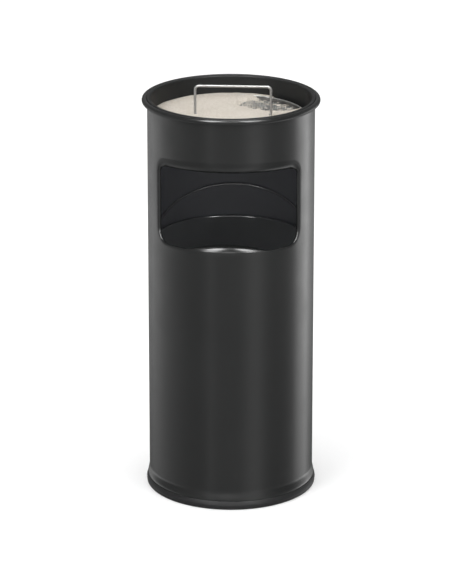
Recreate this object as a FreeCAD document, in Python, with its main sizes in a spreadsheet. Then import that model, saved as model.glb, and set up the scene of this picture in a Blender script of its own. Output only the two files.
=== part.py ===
"""Round steel litter bin with a hanging ash bowl, sand sieve and lift-out liner.

Frame: +Z up, millimetres, origin on the floor at the centre of the foot ring.
The throw-in opening faces -Y, the seam of the shell is at +Y.
"""
import FreeCAD
import Part
import math
import os
import Sketcher

V = FreeCAD.Vector
doc = FreeCAD.newDocument("ash_bin")

# ------------------------------------------------------------------ driving sizes
DIMS = [
    # shell
    ("sheet", 0.8), ("shell_ri", 126.2), ("shell_top", 620.0), ("curl_ro", 4.4),
    ("curl_tail", 2.0), ("flare_start", 26.5), ("flare_low", 15.5), ("flare_out", 2.3),
    ("shell_low", 13.0),
    # throw-in opening
    ("open_low", 412.0), ("open_high", 547.5), ("open_half", 106.3),
    ("open_corner_low", 26.0), ("open_corner_high", 14.0),
    ("lip_low_start", 410.0), ("lip_low_roll", 11.5), ("lip_low_half", 54.0),
    ("lip_high_start", 548.5), ("lip_high_roll", 13.0), ("lip_high_angle", 111.0),
    ("lip_edge_y", 113.5),
    # floor pan and foot ring
    ("pan_z", 22.6), ("pan_rise", 12.0), ("pan_gap", 0.05), ("pan_step_r", 99.0), ("pan_step_h", 3.0),
    ("foot_in", 120.0), ("foot_leg_out", 126.0), ("foot_leg_top", 22.4),
    ("foot_out", 131.5), ("foot_high", 12.6), ("foot_top_out", 129.7),
    # ash bowl
    ("bowl_ri", 121.8), ("bowl_low", 552.0), ("bowl_corner", 10.0),
    ("bowl_flange_r", 127.6), ("bowl_flange_top", 619.9),
    # sand and sieve
    ("sand_gap", 0.3), ("sand_top", 592.0), ("sieve_r", 113.5), ("sieve_z", 586.0),
    ("sieve_rise", 6.6), ("sieve_hole", 1.3), ("sieve_pitch", 4.5), ("sieve_margin", 6.5),
    ("sand_layer", 5.2),
    # sieve handle
    ("wire_r", 2.0), ("handle_half", 57.4), ("handle_shift", 2.9), ("handle_top", 635.5),
    ("handle_bend", 6.0), ("foot_len", 16.0),
    # liner
    ("liner_y", 3.5), ("liner_ri", 110.0), ("liner_sheet", 0.7), ("liner_low", 24.0),
    ("liner_top", 396.0), ("liner_curl", 2.5), ("liner_floor", 30.0), ("liner_lap", 6.0),
    # bail and its ears
    ("bail_z", 380.0), ("bail_tilt", 28.6), ("bail_half", 118.0), ("bail_leg", 17.0),
    ("bail_bend", 3.0), ("bail_tip", 111.5), ("bail_r", 2.0), ("bail_fit", 0.06),
    ("ear_sheet", 1.5), ("ear_half", 13.0), ("ear_low", 364.5), ("ear_high", 389.5),
    ("boss_r", 5.5), ("boss_out", 114.6), ("rivet_r", 2.0), ("rivet_head", 3.6),
    ("rivet_z", 369.0), ("rivet_y", 8.0),
]
sheet = doc.addObject("Spreadsheet::Sheet", "dims")
for row, (name, value) in enumerate(DIMS, start=1):
    sheet.set(f"A{row}", name)
    sheet.set(f"B{row}", str(value))
    sheet.setAlias(f"B{row}", name)
doc.recompute()
D = {name: float(sheet.get(name)) for name, _ in DIMS}


def ev(expression):
    """The value of an expression written in the sheet's words."""
    return float(words_value(expression))


def words_value(expression):
    """Adds and subtracts words and numbers, with one optional factor on each."""
    total = 0.0
    for sign, term in split_terms(expression):
        value = 1.0
        for factor in term.split("*"):
            factor = factor.strip()
            value *= D[factor] if factor in D else float(factor)
        total += sign * value
    return total


def split_terms(expression):
    out, sign, word = [], 1, ""
    for ch in expression.replace(" ", ""):
        if ch in "+-":
            if word:
                out.append((sign, word))
            sign, word = (1 if ch == "+" else -1), ""
        else:
            word += ch
    out.append((sign, word))
    return out


def bound(expression):
    """The same expression for FreeCAD, each word read from the sheet."""
    text = ""
    for sign, term in split_terms(expression):
        factors = [("dims." + f) if f in D else f for f in term.split("*")]
        text += (" + " if sign > 0 else " - ") + " * ".join(factors)
    return text.strip().lstrip("+ ")


def plane(body, role):
    for feature in body.Origin.OriginFeatures:
        if feature.Role == role:
            return feature
    raise RuntimeError(role)


def new_sketch(body, name, role="XZ_Plane", offset=None):
    sk = body.newObject("Sketcher::SketchObject", name)
    sk.AttachmentSupport = [(plane(body, role), "")]
    sk.MapMode = "FlatFace"
    if offset is not None:
        sk.AttachmentOffset = offset
    return sk


def drive(sk, kind, geo, pos, expression):
    """One coordinate of a point, held by the sheet."""
    value = ev(expression)
    if abs(value) < 1e-9:
        sk.addConstraint(Sketcher.Constraint("PointOnObject", geo, pos, -2 if kind == "DistanceX" else -1))
        return
    index = sk.addConstraint(Sketcher.Constraint(kind, -1, 1, geo, pos, value))
    sk.setExpression(f"Constraints[{index}]", bound(expression))


def outline(sk, steps):
    """A closed outline. steps: (x, y) corner expressions; ("arc", radius, cx, cy) between two corners
    makes that edge an arc about (cx, cy), turning the short way."""
    corners, edges = [], []
    for item in steps:
        if item[0] == "arc":
            edges[-1] = item
        else:
            corners.append(item)
            edges.append(None)
    pts = [V(ev(a), ev(b), 0) for a, b in corners]
    count = len(pts)
    ends = []
    for i in range(count):
        p, q, how = pts[i], pts[(i + 1) % count], edges[i]
        if how is None:
            geo = sk.addGeometry(Part.LineSegment(p, q), False)
            ends.append((geo, 1, 2))
            continue
        _, radius, cx, cy = how
        c, r = V(ev(cx), ev(cy), 0), ev(radius)
        a0 = math.atan2(p.y - c.y, p.x - c.x)
        a1 = math.atan2(q.y - c.y, q.x - c.x)
        turn = (a1 - a0 + math.pi) % (2 * math.pi) - math.pi
        circle = Part.Circle(c, V(0, 0, 1), r)
        if turn > 0:
            geo = sk.addGeometry(Part.ArcOfCircle(circle, a0, a0 + turn), False)
            ends.append((geo, 1, 2))
        else:
            geo = sk.addGeometry(Part.ArcOfCircle(circle, a1, a1 - turn), False)
            ends.append((geo, 2, 1))
        index = sk.addConstraint(Sketcher.Constraint("Radius", geo, r))
        sk.setExpression(f"Constraints[{index}]", bound(radius))
    for i in range(count):
        a, b = ends[i], ends[(i + 1) % count]
        sk.addConstraint(Sketcher.Constraint("Coincident", a[0], a[2], b[0], b[1]))
    for i in range(count):
        geo, first, _ = ends[i]
        drive(sk, "DistanceX", geo, first, corners[i][0])
        drive(sk, "DistanceY", geo, first, corners[i][1])
    return sk


def body_named(label):
    body = doc.addObject("PartDesign::Body", label)
    body.Label = label
    return body


def turned(label, steps, name="profile", angle=360.0):
    """A body turned about Z from one closed profile (x is radius, y is height)."""
    body = body_named(label)
    sk = new_sketch(body, label + "_" + name)
    outline(sk, steps)
    doc.recompute()
    rev = body.newObject("PartDesign::Revolution", label + "_turned")
    rev.Profile = sk
    rev.ReferenceAxis = (sk, ["V_Axis"])
    rev.Angle = angle
    doc.recompute()
    body.Tip = rev
    return body


def part_box(name, x0, x1, y0, y1, z0, z1):
    """A tool block; each argument is an expression."""
    box = doc.addObject("Part::Box", name)
    for prop, lo, hi in (("Length", x0, x1), ("Width", y0, y1), ("Height", z0, z1)):
        box.setExpression(prop, bound(hi) + " - (" + bound(lo) + ")")
    for axis, lo in (("x", x0), ("y", y0), ("z", z0)):
        box.setExpression("Placement.Base." + axis, bound(lo))
    return box


def boolean(kind, name, base, tool):
    ob = doc.addObject("Part::" + kind, name)
    ob.Base, ob.Tool = base, tool
    return ob


# ------------------------------------------------------------------ outer shell
# Rolled sheet: straight wall, outward curl at the rim, small flare at the foot.
blank = turned("shell_blank", [
    ("shell_ri + flare_out", "shell_low"), ("shell_ri + flare_out", "flare_low"),
    ("shell_ri", "flare_start"),
    ("shell_ri", "shell_top - curl_ro"),
    ("arc", "curl_ro", "shell_ri + curl_ro", "shell_top - curl_ro"),
    ("shell_ri + curl_ro", "shell_top"),
    ("arc", "curl_ro", "shell_ri + curl_ro", "shell_top - curl_ro"),
    ("shell_ri + 2 * curl_ro", "shell_top - curl_ro"),
    ("arc", "curl_ro", "shell_ri + curl_ro", "shell_top - curl_ro"),
    ("shell_ri + curl_ro", "shell_top - 2 * curl_ro"),
    ("shell_ri + curl_ro - curl_tail", "shell_top - 2 * curl_ro"),
    ("shell_ri + curl_ro - curl_tail", "shell_top - 2 * curl_ro + sheet"),
    ("shell_ri + curl_ro", "shell_top - 2 * curl_ro + sheet"),
    ("arc", "curl_ro - sheet", "shell_ri + curl_ro", "shell_top - curl_ro"),
    ("shell_ri + 2 * curl_ro - sheet", "shell_top - curl_ro"),
    ("arc", "curl_ro - sheet", "shell_ri + curl_ro", "shell_top - curl_ro"),
    ("shell_ri + curl_ro", "shell_top - sheet"),
    ("arc", "curl_ro - sheet", "shell_ri + curl_ro", "shell_top - curl_ro"),
    ("shell_ri + sheet", "shell_top - curl_ro"),
    ("shell_ri + sheet", "flare_start"),
    ("shell_ri + sheet + flare_out", "flare_low"), ("shell_ri + sheet + flare_out", "shell_low"),
])

# The opening: a rounded block pushed through the front wall only.
open_block = part_box("open_block", "-open_half", "open_half", "-150", "-20", "open_low", "open_high")
doc.recompute()
open_tool = doc.addObject("Part::Fillet", "open_tool")
open_tool.Base = open_block
edges = []
for number, edge in enumerate(open_block.Shape.Edges, start=1):
    a, b = edge.Vertexes[0].Point, edge.Vertexes[1].Point
    if abs(a.x - b.x) < 1e-6 and abs(a.z - b.z) < 1e-6:
        radius = D["open_corner_high"] if a.z > (D["open_low"] + D["open_high"]) / 2 else D["open_corner_low"]
        edges.append((number, radius, radius))
open_tool.Edges = edges
doc.recompute()
shell_cut = boolean("Cut", "shell_cut", blank, open_tool)

# Lower lip: the middle of the edge is rolled inwards, deepest at the centre, fading out to both sides.
def lip_egg(name, less):
    egg = doc.addObject("Part::Ellipsoid", name)
    egg.setExpression("Radius1", bound("lip_low_roll - " + less))
    egg.setExpression("Radius2", bound("lip_low_half - " + less))
    egg.setExpression("Radius3", bound("lip_low_roll - " + less))
    egg.Angle1, egg.Angle2, egg.Angle3 = -90, 90, 360
    egg.setExpression("Placement.Base.y", "-(" + bound("shell_ri + sheet - lip_low_roll") + ")")
    egg.setExpression("Placement.Base.z", bound("lip_low_start"))
    return egg

lip_skin = boolean("Cut", "lip_skin", lip_egg("lip_egg_out", "0"), lip_egg("lip_egg_in", "sheet"))
wall_cylinder = doc.addObject("Part::Cylinder", "wall_cylinder")
wall_cylinder.setExpression("Radius", bound("shell_ri + sheet"))
wall_cylinder.setExpression("Height", "dims.shell_top")
lip_round = boolean("Common", "lip_round", lip_skin, wall_cylinder)
lip_keep = part_box("lip_keep", "-lip_low_half - 5", "lip_low_half + 5", "-150", "-lip_edge_y",
                    "lip_low_start - 0.6", "lip_low_start + 20")
lip_low = boolean("Common", "lip_low", lip_round, lip_keep)

# Upper lip: one smooth roll, turned inwards along the whole top edge.
lip_high = turned("lip_high", [
    ("shell_ri + sheet", "lip_high_start"), ("shell_ri", "lip_high_start"),
    ("arc", "lip_high_roll - sheet", "shell_ri + sheet - lip_high_roll", "lip_high_start"),
    ("shell_ri + sheet - lip_high_roll", "lip_high_start - lip_high_roll + sheet"),
    ("shell_ri + sheet - lip_high_roll", "lip_high_start - lip_high_roll"),
    ("arc", "lip_high_roll", "shell_ri + sheet - lip_high_roll", "lip_high_start"),
])
lip_high.Tip.setExpression("Angle", "dims.lip_high_angle")
# The profile starts on +X; turned back so that the arc is centred on -Y.
lip_high.Placement = FreeCAD.Placement(V(0, 0, 0), FreeCAD.Rotation(V(0, 0, 1), -90.0 - D["lip_high_angle"] / 2))
doc.recompute()
shell_fuse = boolean("Fuse", "shell_fuse", shell_cut, lip_low)
outer_shell = boolean("Fuse", "outer_shell", shell_fuse, lip_high)
outer_shell.Label = "outer_shell"
doc.recompute()

# ------------------------------------------------------------------ floor pan
# Pressed disc with a raised centre, its upturned flange welded to the wall inside.
base_pan = turned("base_pan", [
    ("0", "pan_z + pan_step_h"), ("pan_step_r", "pan_z + pan_step_h"), ("pan_step_r + pan_step_h", "pan_z"),
    ("shell_ri - pan_gap - 2", "pan_z"),
    ("arc", "2", "shell_ri - pan_gap - 2", "pan_z + 2"),
    ("shell_ri - pan_gap", "pan_z + 2"), ("shell_ri - pan_gap", "pan_z + pan_rise"),
    ("shell_ri - pan_gap - sheet", "pan_z + pan_rise"), ("shell_ri - pan_gap - sheet", "pan_z + 2"),
    ("arc", "2 - sheet", "shell_ri - pan_gap - 2", "pan_z + 2"),
    ("shell_ri - pan_gap - 2", "pan_z + sheet"),
    ("pan_step_r + pan_step_h + 0.3", "pan_z + sheet"), ("pan_step_r + 0.3", "pan_z + pan_step_h + sheet"),
    ("0", "pan_z + pan_step_h + sheet"),
])

# ------------------------------------------------------------------ foot ring
# Moulded ring: a leg plugged into the shell, a bulged outer bead with two fine grooves, a flat sole.
foot_ring = turned("foot_ring", [
    ("foot_in", "0"), ("foot_out - 2.2", "0"), ("foot_out - 0.9", "1.2"), ("foot_out - 0.5", "3.0"),
    ("foot_out - 1.0", "3.5"), ("foot_out - 0.4", "4.0"),
    ("foot_out", "5.8"), ("foot_out - 0.1", "7.6"), ("foot_out - 0.9", "9.8"),
    ("foot_out - 1.5", "10.2"), ("foot_out - 1.3", "10.7"),
    ("foot_top_out", "foot_high - 0.6"), ("foot_top_out - 0.5", "foot_high"),
    ("foot_leg_out", "foot_high"), ("foot_leg_out", "foot_leg_top - 1"), ("foot_leg_out - 1", "foot_leg_top"),
    ("foot_leg_out - 3", "foot_leg_top"), ("foot_leg_out - 3", "4"), ("foot_in", "4"),
])

# ------------------------------------------------------------------ ash bowl
# Deep pressed bowl; its flange lies on the inner shoulder of the shell's curl.
ash_bowl = turned("ash_bowl", [
    ("0", "bowl_low"), ("bowl_ri + sheet - bowl_corner", "bowl_low"),
    ("arc", "bowl_corner", "bowl_ri + sheet - bowl_corner", "bowl_low + bowl_corner"),
    ("bowl_ri + sheet", "bowl_low + bowl_corner"),
    ("bowl_ri + sheet", "bowl_flange_top - sheet - 1.5"),
    ("arc", "1.5", "bowl_ri + sheet + 1.5", "bowl_flange_top - sheet - 1.5"),
    ("bowl_ri + sheet + 1.5", "bowl_flange_top - sheet"),
    ("bowl_flange_r", "bowl_flange_top - sheet"), ("bowl_flange_r", "bowl_flange_top"),
    ("bowl_ri + sheet + 1.5", "bowl_flange_top"),
    ("arc", "1.5 + sheet", "bowl_ri + sheet + 1.5", "bowl_flange_top - sheet - 1.5"),
    ("bowl_ri", "bowl_flange_top - sheet - 1.5"),
    ("bowl_ri", "bowl_low + bowl_corner"),
    ("arc", "bowl_corner - sheet", "bowl_ri + sheet - bowl_corner", "bowl_low + bowl_corner"),
    ("bowl_ri + sheet - bowl_corner", "bowl_low + sheet"),
    ("0", "bowl_low + sheet"),
])

# ------------------------------------------------------------------ sand in the bowl
# Fills the bowl under the sieve and stands up round it to the level of the sand on the sieve.
sand_bed = turned("sand_bed", [
    ("0", "bowl_low + sheet + sand_gap"), ("bowl_ri - bowl_corner", "bowl_low + sheet + sand_gap"),
    ("bowl_ri - sand_gap - 4", "bowl_low + 4.5"), ("bowl_ri - sand_gap", "bowl_low + bowl_corner + 1"),
    ("bowl_ri - sand_gap", "sand_top"), ("sieve_r + 0.5", "sand_top - 0.6"),
    ("sieve_r + 0.5", "sieve_z - sand_gap"), ("0", "sieve_z - sand_gap"),
])

# ------------------------------------------------------------------ sieve
# Shallow pan of sheet with a triangular field of round holes and a short upstand.
def perforated_pan():
    r, z, t, rise = D["sieve_r"], D["sieve_z"], D["sheet"], D["sieve_rise"]
    hole, pitch, margin = D["sieve_hole"], D["sieve_pitch"], D["sieve_margin"]
    wires = [Part.Wire([Part.makeCircle(r, V(0, 0, z))])]
    rows = int(r / (pitch * math.sqrt(3) / 2)) + 1
    for j in range(-rows, rows + 1):
        y = j * pitch * math.sqrt(3) / 2
        for i in range(-rows - 1, rows + 2):
            x = (i + 0.5 * (j % 2)) * pitch
            if math.hypot(x, y) < r - margin:
                wires.append(Part.Wire([Part.makeCircle(hole, V(x, y, z))]))
    face = Part.Face(wires, "Part::FaceMakerBullseye")
    plate = face.extrude(V(0, 0, t))
    wall = Part.makeCylinder(r, rise, V(0, 0, z)).cut(Part.makeCylinder(r - t, rise + 2, V(0, 0, z - 1)))
    return plate.fuse(wall).removeSplitter(), len(wires) - 1

sieve_shape, hole_count = perforated_pan()
sieve_plate = doc.addObject("Part::Feature", "sieve_plate")
sieve_plate.Label = "sieve_plate"
sieve_plate.Shape = sieve_shape
sieve_plate.Placement = FreeCAD.Placement()
print("sieve holes", hole_count)

# Sand lying on the sieve, with an irregular bare patch at the right rear and slots for the handle's feet.
def sand_layer():
    z = D["sieve_z"] + D["sheet"] + 0.05
    r = D["sieve_r"] - D["sheet"] - 0.3
    layer = Part.makeCylinder(r, D["sand_layer"], V(0, 0, z))
    bare = [(14, 70), (20, 56), (34, 44), (52, 35), (74, 31), (96, 33), (130, 36), (130, 104), (84, 130), (56, 98),
            (38, 94), (22, 84)]
    patch = Part.Face(Part.makePolygon([V(x, y, z - 1) for x, y in bare + bare[:1]])).extrude(V(0, 0, 20))
    layer = layer.cut(patch)
    # the feet of the handle and its two uprights lie in the sand
    half, shift, w = D["handle_half"], D["handle_shift"], D["wire_r"] + 0.15
    for side in (-1, 1):
        x = shift + side * half
        lo, hi = sorted((x + side * w, x - side * (D["handle_bend"] + D["foot_len"] + 1)))
        slot = Part.makeBox(hi - lo, 2 * w, 20, V(lo, -w, z - 1))
        layer = layer.cut(slot)
    return layer

sand_on_sieve = doc.addObject("Part::Feature", "sand_on_sieve")
sand_on_sieve.Label = "sand_on_sieve"
sand_on_sieve.Shape = sand_layer()
sand_on_sieve.Placement = FreeCAD.Placement()

# ------------------------------------------------------------------ wire parts
def open_path(sk, pts, radii):
    """Straight runs joined by tangent arcs: pts are the corners (expressions), radii one per inner corner."""
    xy = [V(ev(a), ev(b), 0) for a, b in pts]
    geos, last, last_text = [], xy[0], pts[0]
    for i in range(1, len(xy) - 1):
        p, r = xy[i], ev(radii[i - 1])
        u = (xy[i - 1] - p).normalize()
        w = (xy[i + 1] - p).normalize()
        half = math.acos(max(-1.0, min(1.0, u.dot(w)))) / 2
        back = r / math.tan(half)
        start, end = p + u * back, p + w * back
        centre = p + (u + w).normalize() * (r / math.sin(half))
        geos.append(sk.addGeometry(Part.LineSegment(last, start), False))
        a0 = math.atan2(start.y - centre.y, start.x - centre.x)
        a1 = math.atan2(end.y - centre.y, end.x - centre.x)
        turn = (a1 - a0 + math.pi) % (2 * math.pi) - math.pi
        circle = Part.Circle(centre, V(0, 0, 1), r)
        if turn > 0:
            arc, first = sk.addGeometry(Part.ArcOfCircle(circle, a0, a0 + turn), False), 1
        else:
            arc, first = sk.addGeometry(Part.ArcOfCircle(circle, a1, a1 - turn), False), 2
        sk.addConstraint(Sketcher.Constraint("Tangent", geos[-1], 2, arc, first))
        index = sk.addConstraint(Sketcher.Constraint("Radius", arc, r))
        sk.setExpression(f"Constraints[{index}]", bound(radii[i - 1]))
        geos.append((arc, 3 - first))
        last = end
    tail = sk.addGeometry(Part.LineSegment(last, xy[-1]), False)
    geos.append(tail)
    for i in range(1, len(geos), 2):
        arc, exit_pos = geos[i]
        sk.addConstraint(Sketcher.Constraint("Tangent", arc, exit_pos, geos[i + 1], 1))
    return geos


def wire_body(label, role, draw, start_role, start_offset, radius_word):
    body = body_named(label)
    path = new_sketch(body, label + "_path", role)
    draw(path)
    doc.recompute()
    prof = new_sketch(body, label + "_section", start_role, start_offset)
    circle = prof.addGeometry(Part.Circle(V(0, 0, 0), V(0, 0, 1), D[radius_word]), False)
    prof.addConstraint(Sketcher.Constraint("Coincident", circle, 3, -1, 1))
    index = prof.addConstraint(Sketcher.Constraint("Radius", circle, D[radius_word]))
    prof.setExpression(f"Constraints[{index}]", "dims." + radius_word)
    doc.recompute()
    pipe = body.newObject("PartDesign::AdditivePipe", label + "_wire")
    pipe.Profile = prof
    pipe.Spine = (path, [])
    doc.recompute()
    body.Tip = pipe
    return body


def draw_handle(sk):
    # foot, upright, grip, upright, foot: x along the grip, y is height above the body's own origin
    lowest = "sieve_z + sheet + wire_r"
    left, right = "handle_shift - handle_half", "handle_shift + handle_half"
    pts = [(left + " + handle_bend + foot_len", lowest), (left, lowest), (left, "handle_top"),
           (right, "handle_top"), (right, lowest), (right + " - handle_bend - foot_len", lowest)]
    geos = open_path(sk, pts, ["handle_bend"] * 4)
    first, last = geos[0], geos[-1]
    drive(sk, "DistanceX", first, 1, pts[0][0])
    drive(sk, "DistanceY", first, 1, pts[0][1])
    drive(sk, "DistanceX", last, 2, pts[5][0])
    drive(sk, "DistanceY", last, 2, pts[5][1])
    for geo, level in ((geos[0], "Horizontal"), (geos[2], "Vertical"), (geos[4], "Horizontal"),
                       (geos[6], "Vertical"), (geos[8], "Horizontal")):
        if geo in (geos[0], geos[4], geos[6]):
            sk.addConstraint(Sketcher.Constraint(level, geo))
    index = sk.addConstraint(Sketcher.Constraint("DistanceY", -1, 1, geos[4], 1, ev("handle_top")))
    sk.setExpression(f"Constraints[{index}]", "dims.handle_top")
    index = sk.addConstraint(Sketcher.Constraint("DistanceX", -1, 1, geos[2], 1, ev(left)))
    sk.setExpression(f"Constraints[{index}]", bound(left))
    index = sk.addConstraint(Sketcher.Constraint("DistanceX", -1, 1, geos[6], 1, ev(right)))
    sk.setExpression(f"Constraints[{index}]", bound(right))


start = D["handle_shift"] - D["handle_half"] + D["handle_bend"] + D["foot_len"]
sieve_handle = wire_body(
    "sieve_handle", "XZ_Plane", draw_handle, "YZ_Plane",
    FreeCAD.Placement(V(0, ev("sieve_z + sheet + wire_r"), start), FreeCAD.Rotation()), "wire_r")

# Liner bail, drawn flat: two pins turned inwards, two short legs, one half-round hoop.
def draw_bail(sk):
    half, leg, bend, tip = D["bail_half"], D["bail_leg"], D["bail_bend"], D["bail_tip"]
    a = sk.addGeometry(Part.LineSegment(V(-tip, 0, 0), V(-half + bend, 0, 0)), False)
    b = sk.addGeometry(Part.ArcOfCircle(Part.Circle(V(-half + bend, bend, 0), V(0, 0, 1), bend), math.pi, 1.5 * math.pi), False)
    c = sk.addGeometry(Part.LineSegment(V(-half, bend, 0), V(-half, leg, 0)), False)
    d = sk.addGeometry(Part.ArcOfCircle(Part.Circle(V(0, leg, 0), V(0, 0, 1), half), 0, math.pi), False)
    e = sk.addGeometry(Part.LineSegment(V(half, leg, 0), V(half, bend, 0)), False)
    f = sk.addGeometry(Part.ArcOfCircle(Part.Circle(V(half - bend, bend, 0), V(0, 0, 1), bend), -0.5 * math.pi, 0), False)
    g = sk.addGeometry(Part.LineSegment(V(half - bend, 0, 0), V(tip, 0, 0)), False)
    for p, pe, q, qe in ((a, 2, b, 2), (b, 1, c, 1), (c, 2, d, 2), (d, 1, e, 1), (e, 2, f, 2), (f, 1, g, 1)):
        sk.addConstraint(Sketcher.Constraint("Coincident", p, pe, q, qe))
    drive(sk, "DistanceX", a, 1, "-bail_tip")
    drive(sk, "DistanceY", a, 1, "0")
    drive(sk, "DistanceX", a, 2, "-bail_half + bail_bend")
    drive(sk, "DistanceY", a, 2, "0")
    drive(sk, "DistanceX", c, 1, "-bail_half")
    drive(sk, "DistanceY", c, 1, "bail_bend")
    drive(sk, "DistanceX", c, 2, "-bail_half")
    drive(sk, "DistanceY", c, 2, "bail_leg")
    drive(sk, "DistanceX", e, 1, "bail_half")
    drive(sk, "DistanceY", e, 1, "bail_leg")
    drive(sk, "DistanceX", e, 2, "bail_half")
    drive(sk, "DistanceY", e, 2, "bail_bend")
    drive(sk, "DistanceX", g, 1, "bail_half - bail_bend")
    drive(sk, "DistanceY", g, 1, "0")
    drive(sk, "DistanceX", g, 2, "bail_tip")
    drive(sk, "DistanceY", g, 2, "0")
    for geo, word in ((b, "bail_bend"), (f, "bail_bend")):
        index = sk.addConstraint(Sketcher.Constraint("Radius", geo, D[word]))
        sk.setExpression(f"Constraints[{index}]", "dims." + word)
    sk.addConstraint(Sketcher.Constraint("Horizontal", d, 1, d, 3))


liner_bail = wire_body(
    "liner_bail", "XY_Plane", draw_bail, "YZ_Plane",
    FreeCAD.Placement(V(0, 0, -D["bail_tip"]), FreeCAD.Rotation()), "bail_r")
liner_bail.Placement = FreeCAD.Placement(V(0, D["liner_y"], D["bail_z"]), FreeCAD.Rotation(V(1, 0, 0), D["bail_tilt"]))
doc.recompute()

# ------------------------------------------------------------------ inner liner
# Straight sheet can with a curled mouth, set a little to the rear so that it clears the lips.
inner_liner = turned("inner_liner", [
    ("liner_ri", "liner_low"),
    ("liner_ri", "liner_top - liner_curl"),
    ("arc", "liner_curl", "liner_ri + liner_curl", "liner_top - liner_curl"),
    ("liner_ri + liner_curl", "liner_top"),
    ("arc", "liner_curl", "liner_ri + liner_curl", "liner_top - liner_curl"),
    ("liner_ri + 2 * liner_curl", "liner_top - liner_curl"),
    ("arc", "liner_curl", "liner_ri + liner_curl", "liner_top - liner_curl"),
    ("liner_ri + liner_curl", "liner_top - 2 * liner_curl"),
    ("liner_ri + liner_curl - 1", "liner_top - 2 * liner_curl"),
    ("liner_ri + liner_curl - 1", "liner_top - 2 * liner_curl + liner_sheet"),
    ("liner_ri + liner_curl", "liner_top - 2 * liner_curl + liner_sheet"),
    ("arc", "liner_curl - liner_sheet", "liner_ri + liner_curl", "liner_top - liner_curl"),
    ("liner_ri + 2 * liner_curl - liner_sheet", "liner_top - liner_curl"),
    ("arc", "liner_curl - liner_sheet", "liner_ri + liner_curl", "liner_top - liner_curl"),
    ("liner_ri + liner_curl", "liner_top - liner_sheet"),
    ("arc", "liner_curl - liner_sheet", "liner_ri + liner_curl", "liner_top - liner_curl"),
    ("liner_ri + liner_sheet", "liner_top - liner_curl"),
    ("liner_ri + liner_sheet", "liner_low"),
])
# rivet holes through both sides
rivet_sketch = new_sketch(inner_liner, "liner_rivet_holes", "YZ_Plane")
for side in (-1, 1):
    hole = rivet_sketch.addGeometry(Part.Circle(V(side * D["rivet_y"], D["rivet_z"], 0), V(0, 0, 1), D["rivet_r"] + 0.05), False)
    drive(rivet_sketch, "DistanceX", hole, 3, ("-" if side < 0 else "") + "rivet_y")
    drive(rivet_sketch, "DistanceY", hole, 3, "rivet_z")
    index = rivet_sketch.addConstraint(Sketcher.Constraint("Radius", hole, D["rivet_r"] + 0.05))
    rivet_sketch.setExpression(f"Constraints[{index}]", "dims.rivet_r + 0.05")
doc.recompute()
before = inner_liner.Shape.Volume
pocket = inner_liner.newObject("PartDesign::Pocket", "liner_rivet_pocket")
pocket.Profile = rivet_sketch
pocket.Type = 1
pocket.Midplane = True
doc.recompute()
inner_liner.Tip = pocket
assert inner_liner.Shape.Volume < before - 10, "rivet holes cut nothing"
inner_liner.Placement = FreeCAD.Placement(V(0, D["liner_y"], 0), FreeCAD.Rotation())

# Bottom disc, its edge turned down inside the liner wall.
liner_bottom = turned("liner_bottom", [
    ("0", "liner_floor"), ("liner_ri - 0.05 - 1.5 - liner_sheet", "liner_floor"),
    ("liner_ri - 0.05 - liner_sheet", "liner_floor - 1.5"),
    ("liner_ri - 0.05 - liner_sheet", "liner_low"), ("liner_ri - 0.05", "liner_low"),
    ("liner_ri - 0.05", "liner_floor - 1"), ("liner_ri - 0.05 - 1.5", "liner_floor + liner_sheet"),
    ("0", "liner_floor + liner_sheet"),
])
liner_bottom.Placement = FreeCAD.Placement(V(0, D["liner_y"], 0), FreeCAD.Rotation())
doc.recompute()

# Ears: curved plates with a stamped boss that holds the bail's pin, riveted to the liner wall.
def ear(label, side):
    inner, outer = D["liner_ri"] + D["liner_sheet"] + 0.05, D["liner_ri"] + D["liner_sheet"] + 0.05 + D["ear_sheet"]
    low, high, half, y0 = D["ear_low"], D["ear_high"], D["ear_half"], D["liner_y"]
    plate = Part.makeCylinder(outer, high - low, V(0, 0, low)).cut(Part.makeCylinder(inner, high - low + 2, V(0, 0, low - 1)))
    block = Part.makeBox(60, 2 * half, high - low, V(80 if side > 0 else -140, -half, low))
    corner = [e for e in block.Edges if abs(e.Vertexes[0].Point.x - e.Vertexes[1].Point.x) > 1]
    plate = plate.common(block.makeFillet(4.0, corner))
    boss = Part.makeCylinder(D["boss_r"], D["boss_out"] - inner - 0.4, V(side * (inner + 0.4), 0, D["bail_z"]), V(side, 0, 0))
    plate = plate.fuse(boss).removeSplitter()
    bore = Part.makeCylinder(D["bail_r"] + D["bail_fit"], 20, V(side * 105, 0, D["bail_z"]), V(side, 0, 0))
    plate = plate.cut(bore)
    for sy in (-1, 1):
        plate = plate.cut(Part.makeCylinder(D["rivet_r"] + 0.05, 20, V(side * 105, sy * D["rivet_y"], D["rivet_z"]), V(side, 0, 0)))
    ob = doc.addObject("Part::Feature", label)
    ob.Label = label
    ob.Shape = plate
    ob.Placement = FreeCAD.Placement(V(0, y0, 0), FreeCAD.Rotation())
    return ob


ear_left = ear("liner_ear_left", -1)
ear_right = ear("liner_ear_right", 1)

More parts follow.
